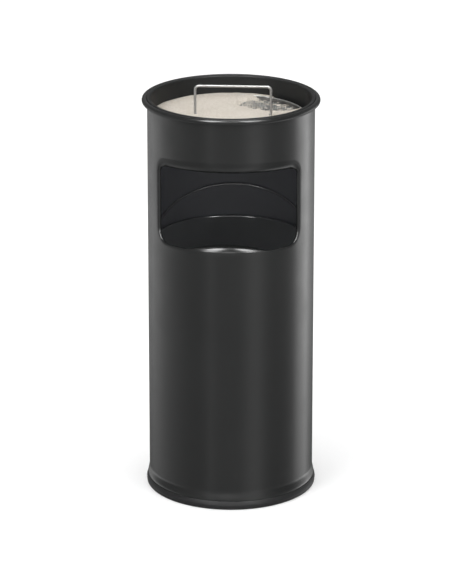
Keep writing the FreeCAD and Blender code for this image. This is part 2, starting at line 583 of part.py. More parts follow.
# Four button-head rivets, set through ear and wall.
def rivets():
    solids = []
    for side in (-1, 1):
        for sy in (-1, 1):
            y, z = sy * D["rivet_y"], D["rivet_z"]
            wall_in = math.sqrt(D["liner_ri"] ** 2 - (D["rivet_y"] + D["rivet_head"]) ** 2)
            face_out = math.sqrt((D["liner_ri"] + D["liner_sheet"] + 0.05 + D["ear_sheet"]) ** 2 - (D["rivet_y"] - D["rivet_head"]) ** 2)
            axis = V(side, 0, 0)
            shank = Part.makeCylinder(D["rivet_r"], face_out - wall_in + 0.3, V(side * (wall_in - 0.15), y, z), axis)
            head = Part.makeCone(D["rivet_head"], D["rivet_head"] * 0.55, 1.3, V(side * (face_out + 0.05), y, z), axis)
            tail = Part.makeCone(D["rivet_head"] * 0.85, D["rivet_head"] * 0.6, 0.8, V(side * (wall_in - 0.05), y, z), V(-side, 0, 0))
            solids.append(shank.fuse([head, tail]).removeSplitter())
    return Part.makeCompound(solids)


liner_ear_rivets = doc.addObject("Part::Feature", "liner_ear_rivets")
liner_ear_rivets.Label = "liner_ear_rivets"
liner_ear_rivets.Shape = rivets()
liner_ear_rivets.Placement = FreeCAD.Placement(V(0, D["liner_y"], 0), FreeCAD.Rotation())

doc.recompute()

# ------------------------------------------------------------------ checks and export
SUBPARTS = [outer_shell, base_pan, foot_ring, ash_bowl, sand_bed, sieve_plate, sieve_handle, sand_on_sieve,
            inner_liner, liner_bottom, ear_left, ear_right, liner_ear_rivets, liner_bail]
for ob in doc.Objects:
    if "Invalid" in ob.State or "Error" in ob.State:
        raise RuntimeError(f"{ob.Name} failed: {ob.State}")
for ob in SUBPARTS:
    shape = ob.Shape
    if shape.isNull() or not shape.isValid() or not shape.Solids:
        raise RuntimeError(f"{ob.Label} has no valid shape")
    box = shape.BoundBox
    print(f"{ob.Label:18s} solids {len(shape.Solids)} faces {len(shape.Faces):5d} volume {shape.Volume / 1000:9.2f} cm3"
          f"  x {box.XMin:.1f}..{box.XMax:.1f} y {box.YMin:.1f}..{box.YMax:.1f} z {box.ZMin:.1f}..{box.ZMax:.1f}")
os.makedirs("parts", exist_ok=True)
for ob in SUBPARTS:
    ob.Shape.exportStep(f"parts/{ob.Label}.step")
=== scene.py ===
import math
import random

import bmesh
import bpy
import numpy as np
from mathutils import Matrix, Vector, geometry, noise


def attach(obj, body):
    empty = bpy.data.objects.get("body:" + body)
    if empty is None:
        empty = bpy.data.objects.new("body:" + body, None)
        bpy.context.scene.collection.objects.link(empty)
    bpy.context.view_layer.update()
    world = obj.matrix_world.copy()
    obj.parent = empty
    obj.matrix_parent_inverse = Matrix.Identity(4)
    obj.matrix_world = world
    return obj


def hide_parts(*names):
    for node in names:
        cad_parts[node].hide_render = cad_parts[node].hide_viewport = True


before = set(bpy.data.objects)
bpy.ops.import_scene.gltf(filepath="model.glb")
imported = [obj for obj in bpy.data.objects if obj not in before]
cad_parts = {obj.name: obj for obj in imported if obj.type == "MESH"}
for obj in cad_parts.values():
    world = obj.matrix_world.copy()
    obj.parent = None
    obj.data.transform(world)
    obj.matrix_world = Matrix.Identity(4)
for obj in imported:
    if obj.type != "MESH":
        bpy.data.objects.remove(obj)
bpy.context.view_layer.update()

MM = 0.001
rng = random.Random(7)
scene = bpy.context.scene

# =====================================================================
# sizes, in millimetres, that repeat the frame's own
# =====================================================================
R_OUT = 127.0          # outer face of the shell wall
SHEET = 0.8
R_IN = R_OUT - SHEET
TOP = 620.0
CURL = 4.4
CURL_R = R_IN + CURL   # centre of the rim curl
CURL_Z = TOP - CURL


# =====================================================================
# material helpers
# =====================================================================
def material(name):
    mat = bpy.data.materials.new(name)
    mat.use_nodes = True
    nt = mat.node_tree
    nt.nodes.clear()
    out = nt.nodes.new("ShaderNodeOutputMaterial")
    bsdf = nt.nodes.new("ShaderNodeBsdfPrincipled")
    nt.links.new(bsdf.outputs[0], out.inputs[0])
    coord = nt.nodes.new("ShaderNodeTexCoord")
    return mat, nt, bsdf, coord.outputs["Object"]


def tex_noise(nt, vec, scale, detail=4.0, rough=0.5, stretch=None):
    if stretch is not None:
        m = nt.nodes.new("ShaderNodeMapping")
        m.inputs["Scale"].default_value = stretch
        nt.links.new(vec, m.inputs["Vector"])
        vec = m.outputs[0]
    n = nt.nodes.new("ShaderNodeTexNoise")
    n.inputs["Scale"].default_value = scale
    n.inputs["Detail"].default_value = detail
    n.inputs["Roughness"].default_value = rough
    nt.links.new(vec, n.inputs["Vector"])
    return n.outputs["Fac"]


def tex_voronoi(nt, vec, scale, feature="F1", output="Distance", randomness=1.0):
    n = nt.nodes.new("ShaderNodeTexVoronoi")
    n.feature = feature
    n.inputs["Scale"].default_value = scale
    n.inputs["Randomness"].default_value = randomness
    nt.links.new(vec, n.inputs["Vector"])
    return n.outputs[output]


def ramp(nt, fac, stops):
    n = nt.nodes.new("ShaderNodeValToRGB")
    els = n.color_ramp.elements
    while len(els) < len(stops):
        els.new(0.5)
    for e, (p, c) in zip(els, stops):
        e.position = p
        e.color = (c, c, c, 1) if isinstance(c, (int, float)) else (*c, 1)
    nt.links.new(fac, n.inputs["Fac"])
    return n.outputs["Color"]


def remap(nt, fac, lo, hi, a=0.0, b=1.0):
    n = nt.nodes.new("ShaderNodeMapRange")
    n.inputs["From Min"].default_value = a
    n.inputs["From Max"].default_value = b
    n.inputs["To Min"].default_value = lo
    n.inputs["To Max"].default_value = hi
    nt.links.new(fac, n.inputs["Value"])
    return n.outputs["Result"]


def mix_rgb(nt, fac, a, b, blend="MIX"):
    n = nt.nodes.new("ShaderNodeMix")
    n.data_type = "RGBA"
    n.blend_type = blend
    if isinstance(fac, (int, float)):
        n.inputs["Factor"].default_value = fac
    else:
        nt.links.new(fac, n.inputs["Factor"])
    for key, val in (("A", a), ("B", b)):
        sock = [s for s in n.inputs if s.name == key and s.type == "RGBA"][0]
        if isinstance(val, tuple):
            sock.default_value = (*val, 1)
        else:
            nt.links.new(val, sock)
    return [s for s in n.outputs if s.type == "RGBA"][0]


def math_node(nt, op, a, b=None):
    n = nt.nodes.new("ShaderNodeMath")
    n.operation = op
    for i, v in enumerate((a, b)):
        if v is None:
            continue
        if isinstance(v, (int, float)):
            n.inputs[i].default_value = v
        else:
            nt.links.new(v, n.inputs[i])
    return n.outputs[0]


def bump(nt, bsdf, layers):
    """layers: (height output, strength, distance in metres), chained."""
    last = None
    for height, strength, distance in layers:
        n = nt.nodes.new("ShaderNodeBump")
        n.inputs["Strength"].default_value = strength
        n.inputs["Distance"].default_value = distance
        nt.links.new(height, n.inputs["Height"])
        if last is not None:
            nt.links.new(last, n.inputs["Normal"])
        last = n.outputs[0]
    nt.links.new(last, bsdf.inputs["Normal"])


# =====================================================================
# materials
# =====================================================================
def powder_coat(name, base, rough_lo, rough_hi, spec=0.5, peel=0.10, dust=0.0):
    mat, nt, b, vec = material(name)
    cloud = tex_noise(nt, vec, 9.0, 3.0)
    fine = tex_noise(nt, vec, 420.0, 2.0)
    dark = tuple(c * 0.86 for c in base)
    light = tuple(c * 1.16 for c in base)
    col = mix_rgb(nt, cloud, dark, light)
    if dust:
        specks = ramp(nt, tex_noise(nt, vec, 1500.0, 1.0), [(0.0, 0.0), (0.72, 0.0), (0.80, 1.0)])
        col = mix_rgb(nt, math_node(nt, "MULTIPLY", specks, dust), col, (0.22, 0.21, 0.20))
    nt.links.new(col, b.inputs["Base Color"])
    r = remap(nt, tex_noise(nt, vec, 26.0, 4.0), rough_lo, rough_hi, 0.3, 0.7)
    nt.links.new(r, b.inputs["Roughness"])
    b.inputs["Specular IOR Level"].default_value = spec
    b.inputs["IOR"].default_value = 1.5
    bump(nt, b, [(fine, peel, 0.00010), (tex_noise(nt, vec, 70.0, 2.0), peel * 0.5, 0.0003)])
    return mat


coat = powder_coat("black_powder_coat", (0.0105, 0.0110, 0.0108), 0.20, 0.27, dust=0.10)
# painted light: the inside paint is a much lighter grey than the black coat, standing in for light reaching the inside
# of the bin
inside_coat_painted_light = powder_coat("interior_paint_painted_light", (0.125, 0.128, 0.138), 0.42, 0.50, spec=0.35, peel=0.12)
bowl_paint = powder_coat("ash_bowl_paint", (0.0125, 0.0130, 0.0130), 0.40, 0.48, spec=0.22, peel=0.10)
# painted light: the liner paint is a light grey standing in for light inside the bin; the liner is black like the shell
liner_paint = powder_coat("liner_paint", (0.112, 0.116, 0.120), 0.16, 0.24, spec=0.95, peel=0.05)
ring_plastic = powder_coat("ring_plastic", (0.0135, 0.0137, 0.0140), 0.38, 0.48, spec=0.25, peel=0.20)


def sand_material(name):
    mat, nt, b, vec = material(name)
    # grains of about half a millimetre, mostly pale quartz with a few tan and grey ones
    cell = nt.nodes.new("ShaderNodeTexVoronoi")
    cell.inputs["Scale"].default_value = 1500.0
    nt.links.new(vec, cell.inputs["Vector"])
    sep = nt.nodes.new("ShaderNodeSeparateColor")
    nt.links.new(cell.outputs["Color"], sep.inputs[0])
    tint = ramp(nt, sep.outputs[0], [(0.0, (0.24, 0.20, 0.155)), (0.07, (0.38, 0.335, 0.275)), (0.18, (0.49, 0.45, 0.395)),
                                     (0.75, (0.55, 0.505, 0.445)), (0.97, (0.64, 0.605, 0.555))])
    damp = tex_noise(nt, vec, 22.0, 4.0)
    col = mix_rgb(nt, remap(nt, damp, 0.0, 0.35, 0.45, 0.75), tint, (0.42, 0.375, 0.315))
    nt.links.new(col, b.inputs["Base Color"])
    b.inputs["Roughness"].default_value = 0.85
    b.inputs["Specular IOR Level"].default_value = 0.3
    bump(nt, b, [(cell.outputs["Distance"], 0.55, 0.0004), (tex_noise(nt, vec, 260.0, 3.0), 0.5, 0.0009)])
    return mat


sand_mat = sand_material("silver_sand")


def painted_shade_sand_material(name):
    """Sand under the sieve, darkened: painted shade seen through the sieve's holes and in the swept ring."""
    mat, nt, b, vec = material(name)
    speck = tex_voronoi(nt, vec, 1100.0, output="Color")
    sep = nt.nodes.new("ShaderNodeSeparateColor")
    nt.links.new(speck, sep.inputs[0])
    tint = ramp(nt, sep.outputs[0], [(0.0, (0.020, 0.019, 0.018)), (0.6, (0.060, 0.057, 0.052)), (1.0, (0.16, 0.15, 0.135))])
    col = mix_rgb(nt, remap(nt, tex_noise(nt, vec, 30.0, 4.0), 0.0, 0.5, 0.4, 0.8), tint, (0.10, 0.094, 0.085))
    nt.links.new(col, b.inputs["Base Color"])
    b.inputs["Roughness"].default_value = 0.9
    b.inputs["Specular IOR Level"].default_value = 0.2
    bump(nt, b, [(tex_noise(nt, vec, 700.0, 3.0), 0.5, 0.0005)])
    return mat


painted_shade_sand = painted_shade_sand_material("sand_darkened_painted_shade")


def metal(name, base, rough_lo, rough_hi, stretch, grain=900.0, stain=0.25):
    mat, nt, b, vec = material(name)
    b.inputs["Metallic"].default_value = 1.0
    spangle = tex_voronoi(nt, vec, 240.0, output="Color")
    sep = nt.nodes.new("ShaderNodeSeparateColor")
    nt.links.new(spangle, sep.inputs[0])
    tone = remap(nt, sep.outputs[1], 0.88, 1.06)
    mul = nt.nodes.new("ShaderNodeVectorMath")
    mul.operation = "SCALE"
    mul.inputs[0].default_value = base
    nt.links.new(tone, mul.inputs["Scale"])
    dull = ramp(nt, tex_noise(nt, vec, 60.0, 5.0), [(0.0, 0.0), (0.52, 0.0), (0.70, 1.0)])
    col = mix_rgb(nt, math_node(nt, "MULTIPLY", dull, stain), mul.outputs[0], tuple(c * 0.45 for c in base))
    nt.links.new(col, b.inputs["Base Color"])
    scratch = tex_noise(nt, vec, grain, 3.0, stretch=stretch)
    nt.links.new(remap(nt, scratch, rough_lo, rough_hi, 0.3, 0.7), b.inputs["Roughness"])
    bump(nt, b, [(scratch, 0.12, 0.00006)])
    return mat


zinc = metal("zinc_sheet", (0.60, 0.61, 0.60), 0.34, 0.50, (1, 1, 1))
# painted shade: a darker copy of the zinc, used at the foot of the sieve's upstand
zinc_painted_shade = metal("zinc_darkened_painted_shade", (0.21, 0.21, 0.205), 0.46, 0.64, (1, 1, 1), stain=0.75)
wire_bright = metal("bright_wire", (0.37, 0.367, 0.36), 0.50, 0.58, (0.06, 1, 1), stain=0.05)
# painted highlight: the bail's paint is a lighter grey standing in for the glint along the wire
bail_paint_painted_glint = powder_coat("bail_wire_painted_glint", (0.135, 0.138, 0.142), 0.20, 0.28, spec=1.0, peel=0.05)


# =====================================================================
# mesh helpers
# =====================================================================
def finish_mesh(name, verts, faces, mats, body, replaces=(), smooth=True, sharp=None, mat_index=None):
    me = bpy.data.meshes.new(name)
    me.from_pydata([tuple(c * MM for c in v) for v in verts], [], faces)
    me.validate()
    for m in mats:
        me.materials.append(m)
    if mat_index is not None:
        me.polygons.foreach_set("material_index", mat_index)
    if smooth:
        me.polygons.foreach_set("use_smooth", [True] * len(me.polygons))
    ob = bpy.data.objects.new(name, me)
    scene.collection.objects.link(ob)
    if sharp is not None:
        me.set_sharp_from_angle(angle=math.radians(sharp))
    me.update()
    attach(ob, body)
    if replaces:
        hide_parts(*replaces)
    return ob


def arc(cx, cz, r, a0, a1, n):
    return [(cx + r * math.cos(math.radians(a0 + (a1 - a0) * i / n)),
             cz + r * math.sin(math.radians(a0 + (a1 - a0) * i / n))) for i in range(n + 1)]


def lathe(name, outline, mats, body, replaces, segs=256, centre=(0, 0), closed=True, sharp=32, pick=None, wobble=None):
    """A turned piece from a closed outline of (radius, height) in mm. Points on the axis are shared."""
    verts, faces, idx = [], [], []
    rows = []
    for r, z in outline:
        if r < 1e-6:
            rows.append([len(verts)] * segs)
            verts.append((centre[0], centre[1], z))
            continue
        row = []
        for k in range(segs):
            t = 2 * math.pi * k / segs
            rr, zz = r, z
            if wobble:
                rr, zz = wobble(r, z, t)
            row.append(len(verts))
            verts.append((centre[0] + rr * math.sin(t), centre[1] - rr * math.cos(t), zz))
        rows.append(row)
    n = len(rows)
    span = range(n if closed else n - 1)
    for i in span:
        a, b = rows[i], rows[(i + 1) % n]
        if a[0] == a[-1] and b[0] == b[-1]:
            continue
        for k in range(segs):
            k2 = (k + 1) % segs
            quad = [a[k], a[k2], b[k2], b[k]]
            seen = []
            for q in quad:
                if q not in seen:
                    seen.append(q)
            if len(seen) >= 3:
                faces.append(seen)
                idx.append(pick(i) if pick else 0)
    return finish_mesh(name, verts, faces, mats, body, replaces, sharp=sharp, mat_index=idx)


def orient(ob):
    bm = bmesh.new()
    bm.from_mesh(ob.data)
    bmesh.ops.recalc_face_normals(bm, faces=bm.faces)
    bm.to_mesh(ob.data)
    bm.free()


# =====================================================================
# outer shell: wall, opening with rolled lips, rim curl, flare, back seam
# =====================================================================
def smooth(t):
    t = max(0.0, min(1.0, t))
    return t * t * (3 - 2 * t)


def wall_radius(z, outer=True):
    base = R_OUT if outer else R_IN
    t = max(0.0, min(1.0, (26.6 - z) / 11.6))
    return base + 2.3 * (t - 0.016 * math.sin(2 * math.pi * t))


def seam_lift(s, z):
    """Lap seam at the back: one sheet end lies over the other."""
    back = math.pi * R_OUT
    d = back - abs(s)
    if z > 606 or d > 9:
        return 0.0
    side = 1 if s > 0 else -1
    x = d * side                       # -9..9 across the seam
    step = smooth((x + 5.2) / 1.2) * (1 - smooth((x - 4.6) / 4.0))
    return 0.42 * step * smooth((606 - z) / 8.0) * smooth((z - 27) / 5.0)


def on_wall(s, z, depth=0.0, outer=True):
    t = s / R_OUT
    r = wall_radius(z, outer) - depth + (seam_lift(s, z) if outer else 0.0)
    return (r * math.sin(t), -r * math.cos(t), z)


OPEN_S = R_OUT * math.radians(56.8)      # half width of the opening, along the wall
LOW_START, HIGH_START = 410.0, 548.6


def opening_contour(step=1.6):
    """Where the roll starts: a rounded rectangle on the unrolled wall, anticlockwise from the low middle, its top edge
    sagging a little to both sides. Returns [s, z, outward normal, roll depth, roll height]."""
    side = OPEN_S + 3.2
    rb, rt = 27.0, 20.0
    pts = []

    def line(p, q):
        n = max(1, round(math.dist(p, q) / step))
        for i in range(n):
            pts.append((p[0] + (q[0] - p[0]) * i / n, p[1] + (q[1] - p[1]) * i / n))

    def bend(cx, cz, r, a0, a1):
        n = max(4, round(abs(math.radians(a1 - a0)) * r / step))
        for i in range(n):
            a = math.radians(a0 + (a1 - a0) * i / n)
            pts.append((cx + r * math.cos(a), cz + r * math.sin(a)))

    line((0, LOW_START), (side - rb, LOW_START))
    bend(side - rb, LOW_START + rb, rb, -90, 0)
    line((side, LOW_START + rb), (side, HIGH_START - rt))
    bend(side - rt, HIGH_START - rt, rt, 0, 90)
    line((side - rt, HIGH_START), (-side + rt, HIGH_START))
    bend(-side + rt, HIGH_START - rt, rt, 90, 180)
    line((-side, HIGH_START - rt), (-side, LOW_START + rb))
    bend(-side + rb, LOW_START + rb, rb, 180, 270)
    line((-side + rb, LOW_START), (0, LOW_START))
    pts = [(s, z - 7.6 * smooth((z - 470) / 75.0) * (s / side) ** 2) for s, z in pts]
    out = []
    n = len(pts)
    for i, (s, z) in enumerate(pts):
        a, b = pts[i - 1], pts[(i + 1) % n]
        dx, dz = b[0] - a[0], b[1] - a[1]
        length = math.hypot(dx, dz)
        nx, nz = dz / length, -dx / length       # points out of the opening (anticlockwise path)
        if nz < -0.5 and z < LOW_START + 12:
            hump = max(0.0, 1 - (abs(s) / 63.0) ** 2.4) ** 1.15
            depth = height = 2.3 + 9.2 * hump
        elif nz > 0.0 and z > 500:
            share = smooth(nz) ** 1.4
            depth = 3.3 + (13.0 - 3.3) * share * (1 - 0.22 * (s / side) ** 2)
            height = 3.3 + (15.6 - 3.3) * share * (1 - 0.26 * (s / side) ** 2)
        else:
            depth = height = 2.3 + 1.0 * smooth((z - 414) / 22.0)
        out.append([s, z, nx, nz, depth, height])
    # eased along the contour so that the lip has no steps
    for col in (4, 5):
        row = [item[col] for item in out]
        for _ in range(4):
            row = [(row[i - 1] + 2 * row[i] + row[(i + 1) % n]) / 4 for i in range(n)]
        for item, value in zip(out, row):
            item[col] = value
    return out


def build_shell():
    verts, faces, midx, wall_normal = [], [], [], {}

    def add(p):
        verts.append(p)
        return len(verts) - 1

    contour = opening_contour()
    half_s = math.pi * R_OUT
    cols = 288
    win = 66                                    # the window holds columns -66..66
    col_s = [half_s * 2 * (k - cols // 2) / cols for k in range(cols)]    # k=0 is the back
    z_lo, z_hi = 396.0, 564.0

    def wall_rows(outer):
        rows = [13.0, 14.2, 15.5, 17, 18.5, 20, 21.5, 23, 24.5, 26.5, 29, 33, 60, 100, 150, 200, 250, 300, 350, 385, z_lo]
        inside = [z_lo + 6 * i for i in range(1, 28)]
        upper = [z_hi, 575, 590, 600, 604, 607, 610, CURL_Z - 2.53 if outer else CURL_Z]
        return rows, inside, upper

    grids = {}
    for outer in (True, False):
        rows, inside, upper = wall_rows(outer)
        all_rows = rows + inside + upper
        grid = {}
        keep_window = set(inside)
        for j, z in enumerate(all_rows):
            for k in range(cols):
                kk = k - cols // 2
                if z in keep_window and -win < kk < win:
                    continue
                grid[(j, k)] = add(on_wall(col_s[k], z, outer=outer))
        n_rows = len(all_rows)
        for j in range(n_rows - 1):
            in_window = rows[-1] <= all_rows[j] < upper[0]
            for k in range(cols):
                kk = k - cols // 2
                if in_window and -win <= kk < win:
                    continue
                k2 = (k + 1) % cols
                q = [grid[(j, k)], grid[(j, k2)], grid[(j + 1, k2)], grid[(j + 1, k)]]
                faces.append(q if outer else q[::-1])
                midx.append(0 if outer else 1)
        # window: its border comes from the grid, its hole is the opening's contour
        j0, j1 = len(rows) - 1, len(rows) + len(inside)
        border = [grid[(j0, k + cols // 2)] for k in range(-win, win + 1)]
        border += [grid[(j, win + cols // 2)] for j in range(j0 + 1, j1 + 1)]
        border += [grid[(j1, k + cols // 2)] for k in range(win - 1, -win - 1, -1)]
        border += [grid[(j, -win + cols // 2)] for j in range(j1 - 1, j0, -1)]
        border_sz = []
        for k in range(-win, win + 1):
            border_sz.append((col_s[k + cols // 2], all_rows[j0]))
        for j in range(j0 + 1, j1 + 1):
            border_sz.append((col_s[win + cols // 2], all_rows[j]))
        for k in range(win - 1, -win - 1, -1):
            border_sz.append((col_s[k + cols // 2], all_rows[j1]))
        for j in range(j1 - 1, j0, -1):
            border_sz.append((col_s[-win + cols // 2], all_rows[j]))
        # contour points, set back by the crease
        groove = [(3.2, 0.0), (1.6, 0.10), (0.0, 0.42)]
        rings = []
        for back, depth in groove:
            ring = []
            for s, z, nx, nz, rho, high in contour:
                shrink = smooth((rho - 2.0) / 3.0)
                p = (s + nx * back, z + nz * back)
                ring.append(add(on_wall(p[0], p[1], depth * (0.35 + 0.65 * shrink), outer)))
            rings.append(ring)
        hole_sz = [(s + nx * groove[0][0], z + nz * groove[0][0]) for s, z, nx, nz, rho, high in contour]
        # filler points between border and hole
        inner = []
        for j in range(j0 + 1, j1):
            for k in range(-win + 1, win):
                s, z = col_s[k + cols // 2], all_rows[j]
                dx = max(abs(s) - (OPEN_S + 3.2), 0.0)
                dz = max(LOW_START - z, z - HIGH_START, 0.0)
                inside_box = abs(s) < OPEN_S + 3.2 and LOW_START < z < HIGH_START
                if inside_box:
                    continue
                if math.hypot(dx, dz) > 5.6:
                    inner.append((s, z))
        # corners of the rounded hole leave room for a few more points
        pts = border_sz + hole_sz + inner
        nb, nh = len(border_sz), len(hole_sz)
        edges = [(i, (i + 1) % nb) for i in range(nb)]
        edges += [(nb + i, nb + (i + 1) % nh) for i in range(nh)]
        res = geometry.delaunay_2d_cdt([Vector(p) for p in pts], edges, [], 1, 1e-4)
        out_pts, out_faces, orig = res[0], res[2], res[3]
        ids = []
        inner_base = {}
        for i, src in enumerate(orig):
            first = min(src) if src else None
            if first is None:
                ids.append(add(on_wall(out_pts[i][0], out_pts[i][1], outer=outer)))
            elif first < nb:
                ids.append(border[first])
            elif first < nb + nh:
                ids.append(rings[0][first - nb])
            else:
                ids.append(add(on_wall(pts[first][0], pts[first][1], outer=outer)))
        poly = [Vector(p) for p in hole_sz]

        def inside_hole(x, y):
            c = False
            n = len(poly)
            for i in range(n):
                a, b = poly[i], poly[(i + 1) % n]
                if (a.y > y) != (b.y > y) and x < (b.x - a.x) * (y - a.y) / (b.y - a.y) + a.x:
                    c = not c
            return c

        for f in out_faces:
            cx = sum(out_pts[i][0] for i in f) / len(f)
            cy = sum(out_pts[i][1] for i in f) / len(f)
            if inside_hole(cx, cy):
                continue
            ring = [ids[i] for i in f]
            faces.append(ring if outer else ring[::-1])
            midx.append(0 if outer else 1)
        # groove strips
        n = len(contour)
        for a, b in ((rings[0], rings[1]), (rings[1], rings[2])):
            for i in range(n):
                i2 = (i + 1) % n
                q = [a[i], a[i2], b[i2], b[i]]
                faces.append(q[::-1] if not outer else q)
                midx.append(0 if outer else 1)
        grids[outer] = (grid, rows, inside, upper, rings)

    # the roll: outer skin, free edge, inner skin
    steps = 16
    n = len(contour)
    skins = {}
    for outer in (True, False):
        last = grids[outer][4][2]
        lines = [last]
        for a in range(1, steps + 1):
            line = []
            for s, z, nx, nz, rho, high in contour:
                stop = math.radians(102 if rho > 6 else 102 + 48 * smooth((6 - rho) / 2.5))
                alpha = stop * a / steps
                shrink = smooth((rho - 2.0) / 3.0)
                base_depth = 0.42 * (0.35 + 0.65 * shrink)
                less = 0.0 if outer else SHEET
                move = (high - less) * math.sin(alpha)
                depth = base_depth + (rho - less) * (1 - math.cos(alpha))
                p = (s - nx * move, z - nz * move)
                t = p[0] / R_OUT
                r = (R_OUT if outer else R_IN) - depth
                line.append(add((r * math.sin(t), -r * math.cos(t), p[1])))
            lines.append(line)
        for a, b in zip(lines, lines[1:]):
            for i in range(n):
                i2 = (i + 1) % n
                q = [a[i], a[i2], b[i2], b[i]]
                faces.append(q if outer else q[::-1])
                midx.append(0)
        skins[outer] = lines[-1]
    a, b = skins[True], skins[False]
    for i in range(n):
        i2 = (i + 1) % n
        faces.append([a[i], a[i2], b[i2], b[i]])
        midx.append(0)

    # rim curl: from the inner face over the top and down to the outer face
    g_out, rows_o, in_o, up_o, _ = grids[True]
    g_in, rows_i, in_i, up_i, _ = grids[False]
    top_out = [g_out[(len(rows_o) + len(in_o) + len(up_o) - 1, k)] for k in range(cols)]
    top_in = [g_in[(len(rows_i) + len(in_i) + len(up_i) - 1, k)] for k in range(cols)]
    prev = top_in
    end = -math.degrees(math.acos(3.6 / 4.4)) - 0.0
    last_angle = -180 + math.degrees(math.acos(3.6 / 4.4))
    count = 30
    for i in range(1, count + 1):
        a = math.radians(180 + (last_angle - 180) * i / count)
        if i == count:
            line = top_out
        else:
            r, z = CURL_R + CURL * math.cos(a), CURL_Z + CURL * math.sin(a)
            line = [add((r * math.sin(s / R_OUT), -r * math.cos(s / R_OUT), z)) for s in col_s]
        for k in range(cols):
            k2 = (k + 1) % cols
            faces.append([prev[k2], prev[k], line[k], line[k2]])
            midx.append(0)
        prev = line
    # foot edge
    low_out = [g_out[(0, k)] for k in range(cols)]
    low_in = [g_in[(0, k)] for k in range(cols)]
    for k in range(cols):
        k2 = (k + 1) % cols
        faces.append([low_out[k2], low_out[k], low_in[k], low_in[k2]])
        midx.append(0)

    ob = finish_mesh("shell_sheet", verts, faces, [coat, inside_coat_painted_light], "root", ["outer_shell"],
                     sharp=60, mat_index=midx)
    orient(ob)
    # true wall normals where the wall is plain, so that the gloss runs straight
    me = ob.data
    me.update()
    normals = []
    for v in me.vertices:
        x, y, z = (c / MM for c in v.co)
        r = math.hypot(x, y)
        plain = abs(r - R_OUT) < 0.012 and 27 < z < 605
        if plain:
            normals.append(Vector((x / r, y / r, 0.0)))
        else:
            normals.append(v.normal.copy())
    return ob, normals


shell, shell_normals = build_shell()


# =====================================================================
# foot ring, floor pan
# =====================================================================
def foot_outline():
    o = 131.5
    pts = [(120.4, 0.0), (o - 2.6, 0.0)]
    pts += arc(o - 2.2, 1.7, 1.7, -90, -14, 6)
    pts += [(o - 0.42, 2.7), (o - 0.50, 3.3), (o - 0.52, 3.7), (o - 0.42, 4.1), (o - 0.24, 4.7)]
    pts += [(o - 0.06, 5.4), (o, 6.0), (o - 0.10, 6.8), (o - 0.36, 7.9), (o - 0.70, 9.1)]
    pts += [(o - 1.08, 10.3), (o - 1.46, 11.4), (o - 1.82, 12.4), (o - 2.0, 12.86)]
    pts += [(o - 2.1, 12.95), (126.0, 12.95), (126.0, 21.2)]
    pts += arc(124.8, 21.2, 1.2, 0, 90, 4)
    pts += [(123.4, 22.4), (123.0, 22.0), (123.0, 4.4)]
    pts += arc(122.6, 4.4, 0.4, 0, -90, 2)
    pts += [(120.4, 4.0), (120.0, 3.6), (120.0, 0.4)]
    return pts


ring = lathe("foot_ring_moulded", foot_outline(), [ring_plastic], "root", ["foot_ring"], sharp=48)
orient(ring)

pan_pts = [(0, 25.6), (99.0, 25.6), (102.0, 22.6), (124.15, 22.6)]
pan_pts += arc(124.15, 24.6, 2.0, -90, 0, 5)[1:]
pan_pts += [(126.15, 34.6), (125.35, 34.6), (125.35, 24.6)]
pan_pts += arc(124.15, 24.6, 1.2, 0, -90, 4)[1:]
pan_pts += [(102.3, 23.4), (99.3, 26.4), (0, 26.4)]
pan = lathe("floor_pan_pressed", pan_pts, [inside_coat_painted_light], "root", ["base_pan"], segs=192, closed=False, sharp=30)
orient(pan)


# =====================================================================
# ash bowl
# =====================================================================
BOWL_RI = 121.8
bowl_pts = [(0, 552.0), (112.6, 552.0)]
bowl_pts += arc(112.6, 562.0, 10.0, -90, 0, 12)[1:]
bowl_pts += [(122.6, 590.0), (122.6, 617.6)]
bowl_pts += arc(124.1, 617.6, 1.5, 180, 90, 6)[1:]
bowl_pts += [(127.2, 619.1)] + arc(127.2, 619.5, 0.4, -90, 90, 6)[1:]
bowl_pts += [(124.1, 619.9)]
bowl_pts += arc(124.1, 617.6, 2.3, 90, 180, 8)[1:]
bowl_pts += [(121.8, 600.0), (121.8, 562.0)]
bowl_pts += arc(112.6, 562.0, 9.2, 0, -90, 12)[1:]
bowl_pts += [(0, 552.8)]
bowl = lathe("ash_bowl_pressed", bowl_pts, [bowl_paint], "ash_bowl", ["ash_bowl"], closed=False, sharp=40)
orient(bowl)


# =====================================================================
# sieve: perforated pan, its upstand, handle
# =====================================================================
SIEVE_R, SIEVE_Z, SIEVE_RISE = 113.5, 586.0, 6.6


def bare_amount(x, y):
    """How bare the sieve is here: 0 under deep sand, about 1 in the middle of the patch at the right rear."""
    n = noise.noise(Vector((x * 0.030, y * 0.030, 3.1))) * 0.55 + noise.noise(Vector((x * 0.085, y * 0.085, 9.7))) * 0.35
    n += noise.noise(Vector((x * 0.27, y * 0.27, 1.9))) * 0.16
    u, v = (x - 64.0) / 58.0, (y - 72.0) / 41.0
    return 1.12 - math.sqrt(u * u + v * v) + n * 0.46


def rim_rise(x, y):
    """Sand banked up to the sieve's own rim, except where it has been swept off at the right rear."""
    r = math.hypot(x, y)
    swept = smooth((x - 50.0) / 24.0) * smooth((y - 4.0) / 24.0)
    return smooth((r - 84.0) / 28.0) * (1 - swept)


